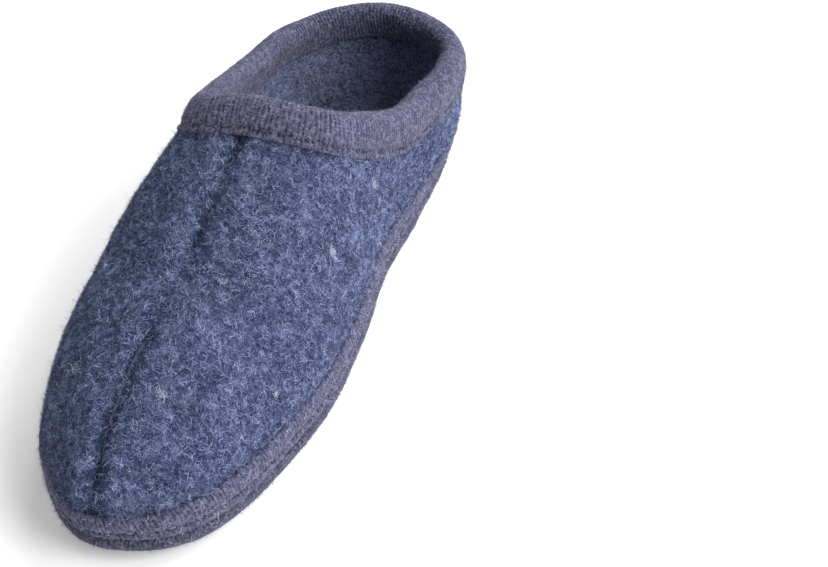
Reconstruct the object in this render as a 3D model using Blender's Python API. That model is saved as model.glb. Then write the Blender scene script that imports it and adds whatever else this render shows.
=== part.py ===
"""Felt slipper for the left foot: a boiled-wool clog with a closed, low heel.

Metres, +Z up. The toe points to -Y, the outer side of the foot is +X and the sole stands on z = 0.
A place on the upper is given by two angles. `turn` goes from the toe (0) to the heel (pi), with the
share of the length at (1 - cos(turn)) / 2, so that both ends close round. `rise` goes up one section,
from the sole edge (0) to the ridge on top (pi / 2).
"""

import math

import bmesh
import bpy
import numpy as np

LENGTH = 0.2702
BALL_WIDTH = 0.095
INSTEP_HEIGHT = 0.083
HEEL_HEIGHT = 0.0505
FELT_WALL = 0.0035
CLEARANCE = 0.0003
BINDING_CLEARANCE = 0.00042

SOLE_THICKNESS = 0.0055
TOE_SPRING = 0.0062
TOE_SPRING_LENGTH = 0.081
HEEL_LIFT = 0.0012
HEEL_LIFT_LENGTH = 0.016
ARCH_LIFT = 0.0012
ARCH_PLACE = 0.61
ARCH_REACH = 0.15

INSOLE_THICKNESS = 0.0050
INSOLE_CUP = 0.0022

RAND_HEIGHT = 0.0108
TUCK_DEPTH = 0.0045
TUCK_HEIGHT = 0.029

TOE_CORE = 0.027

THROAT_FROM_TOE = 0.149
BINDING_DEPTH_OUTSIDE = 0.0140
BINDING_DEPTH_INSIDE = 0.0112
BINDING_LOFT = 0.0029

SEAM_DEPTH = 0.0013
SEAM_HALF_WIDTH = 0.0034
HEEL_SEAM_DEPTH = 0.0008
HEEL_LEAN = 0.0035
HEEL_TUCK = 0.0028
HEEL_BULGE = 0.0024

RIDGE_COLUMNS = 20
COLLAR_COLUMNS = 32
COLUMNS = RIDGE_COLUMNS + COLLAR_COLUMNS
RING_STATIONS = 36

# Sections from toe to heel. along is a share of LENGTH. outer, inner and ridge are shares of BALL_WIDTH:
# the half-widths on the little-toe and big-toe sides of the centre seam, and the seam's own place.
# height, over the floor, is a share of INSTEP_HEIGHT. square is the section's exponent: 2 is an ellipse.
SECTIONS = [
    {"along": 0.00, "outer": 0.000, "inner": 0.000, "ridge": 0.023, "height": 0.305, "square": 2.00},
    {"along": 0.05, "outer": 0.320, "inner": 0.209, "ridge": -0.005, "height": 0.435, "square": 2.00},
    {"along": 0.12, "outer": 0.436, "inner": 0.330, "ridge": -0.028, "height": 0.525, "square": 2.05},
    {"along": 0.22, "outer": 0.486, "inner": 0.434, "ridge": -0.022, "height": 0.628, "square": 2.15},
    {"along": 0.34, "outer": 0.518, "inner": 0.487, "ridge": -0.012, "height": 0.715, "square": 2.30},
    {"along": 0.48, "outer": 0.483, "inner": 0.460, "ridge": 0.000, "height": 0.900, "square": 2.45},
    {"along": 0.62, "outer": 0.412, "inner": 0.372, "ridge": 0.022, "height": 1.110, "square": 2.50},
    {"along": 0.76, "outer": 0.395, "inner": 0.382, "ridge": 0.045, "height": 1.200, "square": 3.00},
    {"along": 0.88, "outer": 0.375, "inner": 0.368, "ridge": 0.065, "height": 1.200, "square": 3.40},
    {"along": 0.96, "outer": 0.292, "inner": 0.272, "ridge": 0.080, "height": 1.150, "square": 3.50},
    {"along": 1.00, "outer": 0.000, "inner": 0.000, "ridge": 0.083, "height": 1.130, "square": 3.50},
]

# The collar's edge seen from the side, on the big-toe and then on the little-toe side, where it lies
# lower under the ankle bone. back is a share of the opening's length, from the throat to the heel.
# instep and heel weigh INSTEP_HEIGHT and HEEL_HEIGHT, which add up to the height over the floor.
INNER_COLLAR = [
    {"place": "brow", "back": 0.020, "instep": 0.955, "heel": 0.00},
    {"place": "corner", "back": 0.085, "instep": 0.890, "heel": 0.00},
    {"place": "shoulder", "back": 0.200, "instep": 0.657, "heel": 0.28},
    {"place": "side", "back": 0.350, "instep": 0.372, "heel": 0.60},
    {"place": "quarter", "back": 0.560, "instep": 0.130, "heel": 0.83},
    {"place": "rear", "back": 0.800, "instep": 0.020, "heel": 0.935},
    {"place": "heel", "back": 1.000, "instep": 0.000, "heel": 1.00},
]
OUTER_COLLAR = [
    {"place": "brow", "back": 0.037, "instep": 0.964, "heel": 0.00},
    {"place": "corner", "back": 0.074, "instep": 0.919, "heel": 0.00},
    {"place": "shoulder", "back": 0.187, "instep": 0.646, "heel": 0.28},
    {"place": "side", "back": 0.348, "instep": 0.324, "heel": 0.60},
    {"place": "quarter", "back": 0.575, "instep": 0.125, "heel": 0.83},
    {"place": "rear", "back": 0.800, "instep": 0.020, "heel": 0.935},
    {"place": "heel", "back": 1.000, "instep": 0.000, "heel": 1.00},
]

# Knit strip round the sole's edge, from its foot to its top. up is a share of RAND_HEIGHT and out the
# distance from the felt. The dip in the middle is the row where it is sewn down.
RAND_PROFILE = [
    {"up": 0.00, "out": 0.0030},
    {"up": 0.08, "out": 0.0036},
    {"up": 0.23, "out": 0.0036},
    {"up": 0.33, "out": 0.0030},
    {"up": 0.39, "out": 0.0018},
    {"up": 0.46, "out": 0.0027},
    {"up": 0.62, "out": 0.0029},
    {"up": 0.80, "out": 0.0025},
    {"up": 0.93, "out": 0.0019},
    {"up": 1.00, "out": 0.0011},
]

# Side of the outsole, from floor to top. up is a share of SOLE_THICKNESS, tuck is how far it stays
# inside the widest outline of the upper.
SOLE_PROFILE = [
    {"up": 0.00, "tuck": 0.0034},
    {"up": 0.13, "tuck": 0.0015},
    {"up": 0.40, "tuck": 0.0005},
    {"up": 0.70, "tuck": 0.0004},
    {"up": 0.91, "tuck": 0.0010},
    {"up": 1.00, "tuck": 0.0022},
]

# Rows up the upper, as shares of the way from the sole edge to the ridge or the collar. They close up
# towards the ridge, where the seam's groove lies.
UPPER_ROWS = [0.0, 0.065, 0.14, 0.24, 0.35, 0.46, 0.57, 0.67, 0.76, 0.84, 0.91, 0.962, 1.0]


def column(name):
    """One named column of the section table."""
    return np.array([row[name] for row in SECTIONS])


def smooth(knots, values, at):
    """A cubic curve through the knots, whose slope at each knot comes from its neighbours."""
    knots, values = np.asarray(knots, float), np.asarray(values, float)
    slopes = np.gradient(values, knots)
    at = np.clip(at, knots[0], knots[-1])
    i = np.clip(np.searchsorted(knots, at, side="right") - 1, 0, len(knots) - 2)
    span = knots[i + 1] - knots[i]
    s = (at - knots[i]) / span
    start = values[i] * (1 + 2 * s) * (1 - s) ** 2 + slopes[i] * span * s * (1 - s) ** 2
    end = values[i + 1] * s * s * (3 - 2 * s) + slopes[i + 1] * span * s * s * (s - 1)
    return start + end


def along_of(turn):
    return (1 - np.cos(turn)) / 2


def turn_of(along):
    return np.arccos(np.clip(1 - 2 * np.asarray(along, float), -1, 1))


SECTION_TURNS = turn_of(column("along"))


def through_sections(name, turn, sign):
    """A column of the table at any turn. sign is -1 for a width, which changes side past each end, and
    1 for what runs on level, so that both ends close round."""
    values = column(name)
    knots = np.concatenate([-SECTION_TURNS[2:0:-1], SECTION_TURNS, 2 * math.pi - SECTION_TURNS[-2:-4:-1]])
    values = np.concatenate([sign * values[2:0:-1], values, sign * values[-2:-4:-1]])
    return smooth(knots, values, turn)


def half_width(turn, side):
    return BALL_WIDTH * through_sections("outer" if side > 0 else "inner", turn, -1)


def ridge_x(turn):
    return BALL_WIDTH * smooth(SECTION_TURNS, column("ridge"), turn)


def ridge_z(turn):
    return INSTEP_HEIGHT * smooth(SECTION_TURNS, column("height"), turn)


def floor_lift(turn):
    """How far the underside lies over the floor: the toe's spring, the heel's lift and a slight arch."""
    from_toe = LENGTH * along_of(turn)
    from_heel = LENGTH - from_toe
    toe = np.clip(1 - from_toe / TOE_SPRING_LENGTH, 0, 1) ** 2
    heel = np.clip(1 - from_heel / HEEL_LIFT_LENGTH, 0, 1) ** 2
    arch = np.clip(1 - ((along_of(turn) - ARCH_PLACE) / ARCH_REACH) ** 2, 0, 1) ** 2
    return TOE_SPRING * toe + HEEL_LIFT * heel + ARCH_LIFT * arch


def feather_z(turn):
    """Height of the upper's lower edge, which stands on the outsole."""
    return floor_lift(turn) + SOLE_THICKNESS + CLEARANCE


def outline(turn, side):
    """The widest outline of the shoe seen from above, as x and y."""
    return ridge_x(turn) + side * half_width(turn, side), LENGTH * (along_of(turn) - 0.5)


def outline_normal(turn, side):
    """The outline's direction outwards, as x and y."""
    step = 1e-4
    x0, y0 = outline(np.asarray(turn) - step, side)
    x1, y1 = outline(np.asarray(turn) + step, side)
    along_x, along_y = x1 - x0, y1 - y0
    size = np.hypot(along_x, along_y) + 1e-12
    return side * along_y / size, -side * along_x / size


def rear_share(turn):
    """Rises from 0 at the waist to 1 round the heel."""
    share = np.clip((along_of(turn) - 0.64) / 0.26, 0, 1)
    return share * share * (3 - 2 * share)


def felt(turn, rise, side):
    """A point on the felt's outer face."""
    turn, rise = np.broadcast_arrays(np.asarray(turn, float), np.asarray(rise, float))
    square = smooth(SECTION_TURNS, column("square"), turn)
    c, s = np.cos(rise), np.sin(rise)
    reach = (np.abs(c) ** square + np.abs(s) ** square) ** (-1 / square)
    width = half_width(turn, side) * reach * c
    up = (ridge_z(turn) - feather_z(turn)) * reach * s
    tuck_height = np.minimum(TUCK_HEIGHT, 0.8 * (ridge_z(turn) - feather_z(turn)))
    tuck = (TUCK_DEPTH + HEEL_TUCK * rear_share(turn)) * np.clip(1 - up / tuck_height, 0, 1) ** 2
    share_up = np.clip(up / HEEL_HEIGHT, 0, 1)
    bulge = HEEL_BULGE * rear_share(turn) * 4 * share_up * (1 - share_up)
    nx, ny = outline_normal(turn, side)
    lean = HEEL_LEAN * np.clip((along_of(turn) - 0.7) / 0.3, 0, 1) ** 2 * (up / HEEL_HEIGHT) ** 1.5
    x = ridge_x(turn) + side * width + nx * (bulge - tuck)
    y = LENGTH * (along_of(turn) - 0.5) + ny * (bulge - tuck) - lean
    return np.stack([x, y, feather_z(turn) + up], -1)


def felt_slopes(turn, rise, side):
    """How the outer face runs per radian of turn and of rise."""
    step = 2e-4
    by_turn = (felt(turn + step, rise, side) - felt(turn - step, rise, side)) / (2 * step)
    low, high = np.clip(rise - step, 0, math.pi / 2), np.clip(rise + step, 0, math.pi / 2)
    by_rise = (felt(turn, high, side) - felt(turn, low, side)) / (high - low)[..., None]
    return by_turn, by_rise


def unit(v):
    return v / (np.linalg.norm(v, axis=-1, keepdims=True) + 1e-12)


def half_normal(turn, rise, side):
    """Outward from one half of the felt, read a little off the seams, where the sections end."""
    turn, rise = np.clip(turn, 0.03, math.pi - 0.03), np.clip(rise, 0, math.pi / 2 - 0.02)
    by_turn, by_rise = felt_slopes(turn, rise, side)
    return unit(side * np.cross(by_turn, by_rise))


def felt_normal(turn, rise, side):
    """Outward from the felt. Both halves share one normal along the seams."""
    turn, rise = np.broadcast_arrays(np.asarray(turn, float), np.asarray(rise, float))
    own, other = half_normal(turn, rise, side), half_normal(turn, rise, -side)
    on_seam = (turn < 1e-6) | (turn > math.pi - 1e-6) | (rise > math.pi / 2 - 1e-6)
    return unit(np.where(on_seam[..., None], own + other, own))


def wall_direction(turn, rise, side):
    """From the felt's inner to its outer face: square to the felt, but fanning out from one point
    inside the toe near its tip, where the sections shrink to nothing."""
    core = np.array([ridge_x(0.0), TOE_CORE - LENGTH / 2, feather_z(0.0)])
    fan = unit(felt(turn, rise, side) - core)
    near = np.clip(1.6 - turn / 0.25, 0, 1)
    near = (near * near * (3 - 2 * near))[..., None]
    return unit(felt_normal(turn, rise, side) * (1 - near) + fan * near)


def rise_at_height(turn, up, side):
    """The rise at which the section has come up by this much from the sole edge."""
    rises = np.linspace(0, math.pi / 2, 181)
    turn, up = np.atleast_1d(turn), np.broadcast_to(up, np.shape(np.atleast_1d(turn)))
    found = [
        np.interp(height, felt(np.full(181, place), rises, side)[:, 2] - feather_z(place), rises)
        for place, height in zip(turn, up)
    ]
    return np.array(found)


def collar_edge(side, count):
    """turn and rise of the collar's edge, from the throat to the heel, evenly spaced along the edge."""
    throat = turn_of(THROAT_FROM_TOE / LENGTH)
    opening = 1 - THROAT_FROM_TOE / LENGTH
    table = OUTER_COLLAR if side > 0 else INNER_COLLAR
    back = np.array([row["back"] for row in table])
    turns = turn_of(THROAT_FROM_TOE / LENGTH + back * opening)
    heights = np.array([row["instep"] * INSTEP_HEIGHT + row["heel"] * HEEL_HEIGHT for row in table])
    rises = rise_at_height(turns, heights - feather_z(turns), side)
    turns = np.concatenate([turns[1::-1], [throat], turns, 2 * math.pi - turns[-2:-4:-1]])
    rises = np.concatenate([math.pi - rises[1::-1], [math.pi / 2], rises, rises[-2:-4:-1]])
    knots = np.concatenate([[0], np.cumsum(np.hypot(np.diff(turns) * 1.5, np.diff(rises)))])
    fine = np.linspace(knots[2], knots[-3], 400)
    turn, rise = smooth(knots, turns, fine), np.minimum(smooth(knots, rises, fine), math.pi / 2)
    points = felt(turn, rise, side)
    run = np.concatenate([[0], np.cumsum(np.linalg.norm(np.diff(points, axis=0), axis=1))])
    wanted = np.linspace(0, run[-1], count)
    return np.interp(wanted, run, turn), np.interp(wanted, run, rise)


def down_from_collar(turn, rise, side, depth, steps):
    """Walks down the felt, square to the collar's edge, and returns turn, rise and position after
    each step."""
    points = felt(turn, rise, side)
    edge = np.gradient(points, axis=0)
    edge[0] = edge[0] * [1, 0, 0]
    edge[-1] = edge[-1] * [1, 0, 0]
    way = unit(np.cross(felt_normal(turn, rise, side), unit(edge)))
    way = way * np.where(way[:, 2:] > 0, -1, 1)
    places = [(turn, rise, points, way)]
    for _ in range(steps):
        by_turn, by_rise = felt_slopes(turn, rise, side)
        normal = unit(np.cross(by_turn, by_rise))
        way = unit(way - normal * np.sum(way * normal, -1, keepdims=True))
        a, b = np.sum(by_turn**2, -1), np.sum(by_turn * by_rise, -1)
        c = np.sum(by_rise**2, -1)
        p, q = np.sum(by_turn * way, -1), np.sum(by_rise * way, -1)
        determinant = a * c - b * b
        turn = turn + depth / steps * (c * p - b * q) / determinant
        rise = np.clip(rise + depth / steps * (a * q - b * p) / determinant, 0, math.pi / 2)
        places.append((turn, rise, felt(turn, rise, side), way))
    return places


def material(name, colour, roughness):
    made = bpy.data.materials.new(name)
    made.use_nodes = True
    shader = made.node_tree.nodes["Principled BSDF"]
    shader.inputs["Base Color"].default_value = (*colour, 1.0)
    shader.inputs["Roughness"].default_value = roughness
    shader.inputs["Metallic"].default_value = 0.0
    return made


def add_object(name, mesh, finish):
    obj = bpy.data.objects.new(name, mesh)
    mesh.materials.append(finish)
    mesh.shade_smooth()
    bpy.context.scene.collection.objects.link(obj)
    return obj


def mesh_of(name, points, faces):
    """A mesh with coinciding points joined and its faces pointing outwards."""
    mesh = bpy.data.meshes.new(name)
    mesh.from_pydata([tuple(p) for p in points], [], faces)
    work = bmesh.new()
    work.from_mesh(mesh)
    bmesh.ops.remove_doubles(work, verts=work.verts, dist=2e-6)
    bmesh.ops.recalc_face_normals(work, faces=work.faces)
    work.to_mesh(mesh)
    work.free()
    return mesh


def grid_faces(rows, columns, first=0):
    """Quads of a grid of points stored column by column, `rows` points in each."""
    return [
        (first + j * rows + i, first + (j + 1) * rows + i, first + (j + 1) * rows + i + 1, first + j * rows + i + 1)
        for j in range(columns - 1)
        for i in range(rows - 1)
    ]


def seam_groove(points, turn, side):
    """How deep the front and back seams draw the felt in, at each point."""
    off_seam = np.abs(points[..., 0] - ridge_x(turn))
    valley = np.exp(-((off_seam / SEAM_HALF_WIDTH) ** 2))
    is_rear = along_of(turn) > 0.8
    return valley * np.where(is_rear, HEEL_SEAM_DEPTH, SEAM_DEPTH)


def upper_half(side):
    """Points of one half of the felt, first its outer and then its inner face, column by column from
    toe to heel, each from the sole edge to the ridge or, behind the throat, to the collar."""
    foot = np.linspace(0, math.pi, COLUMNS + 1)
    shares = np.array(UPPER_ROWS)
    ridge_along = along_of(foot[: RIDGE_COLUMNS + 1]) * THROAT_FROM_TOE / LENGTH / along_of(foot[RIDGE_COLUMNS])
    collar_turn, collar_rise = collar_edge(side, COLLAR_COLUMNS + 1)
    top_turn = np.concatenate([turn_of(ridge_along), collar_turn[1:]])
    top_rise = np.concatenate([np.full(RIDGE_COLUMNS + 1, math.pi / 2), collar_rise[1:]])
    turn = foot[:, None] + (top_turn - foot)[:, None] * shares[None, :] ** 1.5
    rise = top_rise[:, None] * shares[None, :]
    points, normal = felt(turn, rise, side), felt_normal(turn, rise, side)
    inner = points - wall_direction(turn, rise, side) * FELT_WALL
    inner[:, 0, 2] = points[:, 0, 2]
    return points - normal * seam_groove(points, turn, side)[..., None], inner


def make_upper(finish):
    """The hollow felt upper, open at the collar and underneath."""
    points, faces = [], []
    for side in (1, -1):
        outer, inner = upper_half(side)
        columns, rows = outer.shape[:2]
        first, second = len(points), len(points) + columns * rows
        faces += grid_faces(rows, columns, first) + grid_faces(rows, columns, second)
        points += list(outer.reshape(-1, 3)) + list(inner.reshape(-1, 3))
        for j in range(columns - 1):
            one, other = j * rows, (j + 1) * rows
            faces.append((first + one, first + other, second + other, second + one))
            if j >= RIDGE_COLUMNS:
                one, other = one + rows - 1, other + rows - 1
                faces.append((first + one, first + other, second + other, second + one))
    return add_object("upper", mesh_of("upper", points, faces), finish)


def binding_profile():
    """The collar binding's section, as depth below the felt's edge and distance out from its outer
    face: down the outside, sewn in near its foot, over the edge and down the inside."""
    inside = -FELT_WALL
    over = BINDING_LOFT
    outer_foot, inner_foot = BINDING_DEPTH_OUTSIDE, BINDING_DEPTH_INSIDE
    return [
        (outer_foot, BINDING_CLEARANCE),
        (outer_foot, 0.0013),
        (outer_foot - 0.0017, 0.0015),
        (outer_foot - 0.0026, 0.0008),
        (outer_foot - 0.0038, 0.0021),
        (outer_foot * 0.42, over * 1.05),
        (0.0003, over * 0.95),
        (-over * 0.60, over * 0.45),
        (-over * 0.98, inside * 0.5),
        (-over * 0.60, inside - over * 0.45),
        (0.0003, inside - over * 0.80),
        (inner_foot * 0.30, inside - over * 0.90),
        (inner_foot * 0.70, inside - over * 0.75),
        (inner_foot, inside - 0.0012),
        (inner_foot, inside - BINDING_CLEARANCE),
        (inner_foot * 0.50, inside - BINDING_CLEARANCE),
        (-BINDING_CLEARANCE, inside - BINDING_CLEARANCE),
        (-BINDING_CLEARANCE, BINDING_CLEARANCE),
        (outer_foot * 0.33, BINDING_CLEARANCE),
        (outer_foot * 0.67, BINDING_CLEARANCE),
    ]


def binding_half(side):
    """Sections of the binding from throat to heel on one side."""
    turn, rise = collar_edge(side, COLLAR_COLUMNS + 1)
    deepest = max(BINDING_DEPTH_OUTSIDE, BINDING_DEPTH_INSIDE)
    steps = 15
    walk = down_from_collar(turn, rise, side, deepest, steps)
    turns = np.array([place[0] for place in walk])
    rises = np.array([place[1] for place in walk])
    normals = [felt_normal(place[0], place[1], side) for place in walk]
    up = -walk[0][3]
    rings = []
    for depth, out in binding_profile():
        at = max(depth, 0) / deepest * steps
        low = min(int(at), steps - 1)
        mix = at - low
        place = felt(turns[low] * (1 - mix) + turns[low + 1] * mix, rises[low] * (1 - mix) + rises[low + 1] * mix, side)
        normal = unit(normals[low] * (1 - mix) + normals[low + 1] * mix)
        rings.append(place + normal * out + up * max(-depth, 0))
    return np.array(rings).transpose(1, 0, 2)


def loop_faces(rings, points_each):
    """Quads of a closed chain of closed sections."""
    faces = []
    for j in range(rings):
        k = (j + 1) % rings
        for i in range(points_each):
            n = (i + 1) % points_each
            faces.append((j * points_each + i, k * points_each + i, k * points_each + n, j * points_each + n))
    return faces


def make_collar_binding(finish):
    """The knit strip folded over the collar's edge."""
    outer, inner = binding_half(1), binding_half(-1)
    chain = np.concatenate([outer, inner[-2:0:-1]])
    mesh = mesh_of("collar_binding", chain.reshape(-1, 3), loop_faces(len(chain), chain.shape[1]))
    return add_object("collar_binding", mesh, finish)


def around_sole():
    """Turn and side of the stations round the whole sole edge, starting at the toe."""
    turns = np.linspace(0, math.pi, RING_STATIONS + 1)
    there = [(turn, 1) for turn in turns]
    back = [(turn, -1) for turn in turns[-2:0:-1]]
    return there + back


def rand_section(turn, side):
    """The knit strip's section at one station: up the outside, then down against the felt."""
    against_felt = [{"up": up, "out": CLEARANCE} for up in (1.0, 0.6, 0.25, 0.0)]
    nx, ny = outline_normal(turn, side)
    points = []
    for row in RAND_PROFILE + against_felt:
        rise = rise_at_height(turn, row["up"] * RAND_HEIGHT, side)[0]
        points.append(felt(turn, rise, side) + np.array([nx, ny, 0.0]) * row["out"])
    return points


def make_rand(finish):
    """The knit strip that covers the joint between felt and sole, all the way round."""
    rings = np.array([rand_section(turn, side) for turn, side in around_sole()])
    mesh = mesh_of("sole_rand", rings.reshape(-1, 3), loop_faces(len(rings), rings.shape[1]))
    return add_object("sole_rand", mesh, finish)


def plate(name, edge_rows, across, bottom_dish, top_dish, finish):
    """A solid plate shaped like the sole. edge_rows(turn, side) gives the points of its side, from the
    lowest to the highest; across are the shares at which its faces are divided from side to side."""
    turns = np.linspace(0, math.pi, RING_STATIONS + 1)
    points, faces = [], []
    rings = np.array([edge_rows(turn, side) for turn, side in around_sole()])
    count, rows = rings.shape[0], rings.shape[1]
    points += list(rings.reshape(-1, 3))
    for j in range(count):
        k = (j + 1) % count
        faces += [(j * rows + i, k * rows + i, k * rows + i + 1, j * rows + i + 1) for i in range(rows - 1)]
    for level, dish in ((0, bottom_dish), (rows - 1, top_dish)):
        chains = []
        for j in range(1, RING_STATIONS):
            right, left = j * rows + level, (count - j) * rows + level
            chain = [right]
            for share in across:
                place = points[right] * (1 - share) + points[left] * share
                inward = min(share, 1 - share) * np.linalg.norm(points[right] - points[left])
                place = place + np.array([0, 0, dish(turns[j], inward)])
                chain.append(len(points))
                points.append(place)
            chains.append(chain + [left])
        toe, heel = level, RING_STATIONS * rows + level
        for one, other in zip(chains, chains[1:]):
            faces += [(one[i], one[i + 1], other[i + 1], other[i]) for i in range(len(one) - 1)]
        faces += [(toe, chains[0][i], chains[0][i + 1]) for i in range(len(chains[0]) - 1)]
        faces += [(heel, chains[-1][i + 1], chains[-1][i]) for i in range(len(chains[-1]) - 1)]
    return add_object(name, mesh_of(name, points, faces), finish)


def outsole_edge(turn, side):
    x, y = outline(turn, side)
    nx, ny = outline_normal(turn, side)
    low = floor_lift(turn)
    points = []
    for row in SOLE_PROFILE:
        tuck = row["tuck"] + HEEL_TUCK * rear_share(turn)
        points.append(np.array([x - nx * tuck, y - ny * tuck, low + row["up"] * SOLE_THICKNESS]))
    return points


def make_outsole(finish):
    """The flat felt sole with its rounded edge."""
    flat = lambda turn, inward: 0.0
    return plate("outsole", outsole_edge, (0.25, 0.5, 0.75), flat, flat, finish)


def insole_edge(turn, side):
    """Side of the footbed, which fits the inside of the felt wall."""
    points = []
    for up in (0.0, 0.5, 1.0):
        turns, rise = np.array([turn]), rise_at_height(turn, up * INSOLE_THICKNESS, side)
        inset = wall_direction(turns, rise, side) * (FELT_WALL + CLEARANCE)
        points.append((felt(turns, rise, side) - inset)[0])
    points[0][2] = feather_z(turn)
    return points


def make_insole(finish):
    """The felt footbed, a little dished so that its rim rides up the wall."""
    flat = lambda turn, inward: 0.0
    dished = lambda turn, inward: -INSOLE_CUP * min(inward / 0.014, 1.0)
    return plate("insole", insole_edge, (0.1, 0.22, 0.5, 0.78, 0.9), flat, dished, finish)


def centre(objects):
    """Moves the shoe so that its box stands centred on the origin."""
    points = np.array([vertex.co for obj in objects for vertex in obj.data.vertices])
    low, high = points.min(axis=0), points.max(axis=0)
    for obj in objects:
        for vertex in obj.data.vertices:
            vertex.co.x -= (low[0] + high[0]) / 2
            vertex.co.y -= (low[1] + high[1]) / 2


def main():
    for obj in list(bpy.data.objects):
        bpy.data.objects.remove(obj)
    blue_felt = material("blue boiled wool", (0.115, 0.155, 0.300), 0.95)
    knit = material("slate violet rib knit", (0.120, 0.115, 0.190), 0.92)
    sole_felt = material("slate violet sole felt", (0.105, 0.100, 0.165), 0.95)
    pieces = [make_upper(blue_felt), make_collar_binding(knit), make_rand(knit)]
    pieces += [make_outsole(sole_felt), make_insole(blue_felt)]
    centre(pieces)


main()
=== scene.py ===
"""Looks of the felt slipper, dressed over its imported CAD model. Metres, toe to -Y, outer side of the
foot to +X, floor at z = 0."""

import math

import bmesh
import bpy
import numpy as np
from mathutils import Matrix, Vector, noise


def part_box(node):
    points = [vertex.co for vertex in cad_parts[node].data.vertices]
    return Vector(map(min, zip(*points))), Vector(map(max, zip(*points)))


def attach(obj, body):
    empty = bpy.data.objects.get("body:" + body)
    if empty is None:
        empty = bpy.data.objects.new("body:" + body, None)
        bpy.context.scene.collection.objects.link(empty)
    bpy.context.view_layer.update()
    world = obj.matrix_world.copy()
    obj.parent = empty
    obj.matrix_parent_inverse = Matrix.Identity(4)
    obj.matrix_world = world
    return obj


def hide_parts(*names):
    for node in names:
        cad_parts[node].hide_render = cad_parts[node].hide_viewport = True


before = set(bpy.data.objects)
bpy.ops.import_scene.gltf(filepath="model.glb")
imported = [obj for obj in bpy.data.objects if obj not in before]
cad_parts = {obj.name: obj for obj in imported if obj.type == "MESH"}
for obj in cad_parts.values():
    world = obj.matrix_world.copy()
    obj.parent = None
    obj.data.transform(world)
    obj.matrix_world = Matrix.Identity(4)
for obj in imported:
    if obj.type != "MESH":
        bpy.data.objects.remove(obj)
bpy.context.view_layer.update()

# ---- The shoe's form, from the same sizes and tables as its solids ----

LENGTH = 0.2702
BALL_WIDTH = 0.095
INSTEP_HEIGHT = 0.083
HEEL_HEIGHT = 0.0505
FELT_WALL = 0.0035
CLEARANCE = 0.0003
BINDING_GAP = 0.00042

SOLE_THICKNESS = 0.0055
TOE_SPRING = 0.0062
TOE_SPRING_LENGTH = 0.081
HEEL_LIFT = 0.0012
HEEL_LIFT_LENGTH = 0.016
ARCH_LIFT = 0.0012
ARCH_PLACE = 0.61
ARCH_REACH = 0.15

INSOLE_THICKNESS = 0.0050
INSOLE_CUP = 0.0022

RAND_HEIGHT = 0.0108
TUCK_DEPTH = 0.0045
TUCK_HEIGHT = 0.029

TOE_CORE = 0.027

THROAT_FROM_TOE = 0.149
BINDING_OUTER = 0.0140
BINDING_INNER = 0.0112
BINDING_LOFT = 0.0029

SEAM_DEPTH = 0.0013
SEAM_HALF_WIDTH = 0.0034
HEEL_SEAM_DEPTH = 0.0008
HEEL_LEAN = 0.0035
HEEL_TUCK = 0.0028
HEEL_BULGE = 0.0024

RIDGE_COLUMNS = 100
COLLAR_COLUMNS = 92
COLUMNS = RIDGE_COLUMNS + COLLAR_COLUMNS
RING_STATIONS = 36

# Sections from toe to heel. along is a share of LENGTH. outer, inner and ridge are shares of BALL_WIDTH:
# the half-widths on the little-toe and big-toe sides of the centre seam, and the seam's own place.
# height, over the floor, is a share of INSTEP_HEIGHT. square is the section's exponent: 2 is an ellipse.
SECTIONS = dict(zip(("along", "outer", "inner", "ridge", "height", "square"), np.array([
    (0.00, 0.000, 0.000, 0.023, 0.305, 2.00),
    (0.05, 0.320, 0.209, -0.005, 0.435, 2.00),
    (0.12, 0.436, 0.330, -0.028, 0.525, 2.05),
    (0.22, 0.486, 0.434, -0.022, 0.628, 2.15),
    (0.34, 0.518, 0.487, -0.012, 0.715, 2.30),
    (0.48, 0.483, 0.460, 0.000, 0.900, 2.45),
    (0.62, 0.412, 0.372, 0.022, 1.110, 2.50),
    (0.76, 0.395, 0.382, 0.045, 1.200, 3.00),
    (0.88, 0.375, 0.368, 0.065, 1.200, 3.40),
    (0.96, 0.292, 0.272, 0.080, 1.150, 3.50),
    (1.00, 0.000, 0.000, 0.083, 1.130, 3.50),
]).T))

# The collar's edge seen from the side, on the big-toe and then on the little-toe side, where it lies
# lower under the ankle bone. Each row has back, a share of the opening's length from the throat to the
# heel, and the weights of INSTEP_HEIGHT and HEEL_HEIGHT, which add up to the height over the floor.
INNER_COLLAR = [
    (0.020, 0.955, 0.00), (0.085, 0.890, 0.00), (0.200, 0.657, 0.28), (0.350, 0.372, 0.60),
    (0.560, 0.130, 0.83), (0.800, 0.020, 0.935), (1.000, 0.000, 1.00),
]
OUTER_COLLAR = [
    (0.037, 0.964, 0.00), (0.074, 0.919, 0.00), (0.187, 0.646, 0.28), (0.348, 0.324, 0.60),
    (0.575, 0.125, 0.83), (0.800, 0.020, 0.935), (1.000, 0.000, 1.00),
]

# Knit strip round the sole's edge, from its foot to its top: shares of RAND_HEIGHT and distances out from
# the felt. The dip in the middle is the row where it is sewn down.
RAND_PROFILE = [
    (0.00, 0.0030), (0.08, 0.0036), (0.23, 0.0036), (0.33, 0.0030), (0.39, 0.0018),
    (0.46, 0.0027), (0.62, 0.0029), (0.80, 0.0025), (0.93, 0.0019), (1.00, 0.0011),
]

# Side of the outsole, from floor to top: shares of SOLE_THICKNESS, and how far it stays inside the
# widest outline of the upper.
SOLE_PROFILE = [
    (0.00, 0.0034), (0.13, 0.0015), (0.40, 0.0005), (0.70, 0.0004), (0.91, 0.0010), (1.00, 0.0022),
]

# Shares of the way up the upper at each row, closer together towards its top.
UPPER_ROWS = 1 - np.linspace(1, 0, 53) ** 1.35
RISE_SAMPLES = 181
WALK_STEPS = 15

# Where the heel's tuck and bulge begin, and how far on they are full, as shares of the length.
REAR_START = 0.64
REAR_REACH = 0.26
REAR_SEAM = 0.8  # share of the length past which a seam is the heel's


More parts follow.
